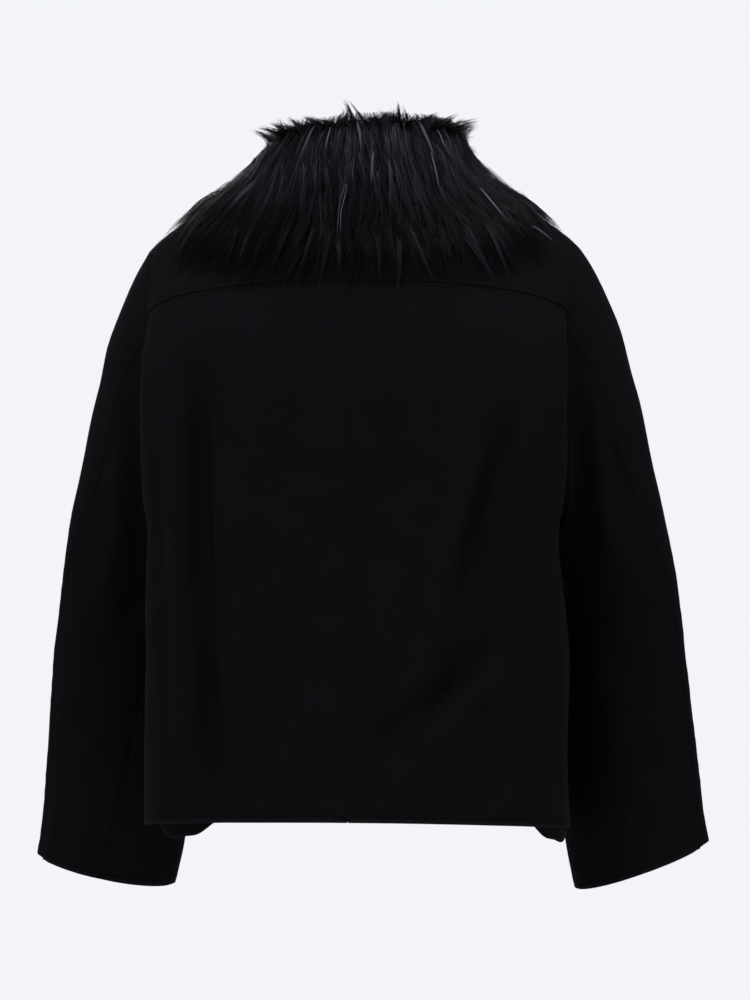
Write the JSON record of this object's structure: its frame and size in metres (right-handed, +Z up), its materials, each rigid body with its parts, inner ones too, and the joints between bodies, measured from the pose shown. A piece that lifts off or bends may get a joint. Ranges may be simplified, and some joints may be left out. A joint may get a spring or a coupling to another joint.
{
  "type": "fur collar jacket",
  "caption": "Short boxy jacket in black double-faced wool with a standing long-haired fur collar, set-in sleeves and an arched back yoke seam, hollow and held at the neck.",
  "frame": {"origin": "middle of the neck opening, level with the neck seam at centre back, where a wearer's neck and shoulders hold the jacket", "axes": "+Z up, -Y towards the wearer's front, +X towards the wearer's left"},
  "size_m": [0.681, 0.2762, 0.7762],
  "materials": {
    "wool": "matt, softly napped",
    "fur": "long glossy hair"
  },
  "bodies": {
    "root": {"back_yoke": "wool", "back_left": "wool", "back_right": "wool", "front_left": "wool", "front_right": "wool", "under_sleeve_left": "wool", "top_sleeve_left": "wool", "under_sleeve_right": "wool", "top_sleeve_right": "wool", "collar_stand": "wool", "fur_collar": "fur"}
  },
  "joints": []
}
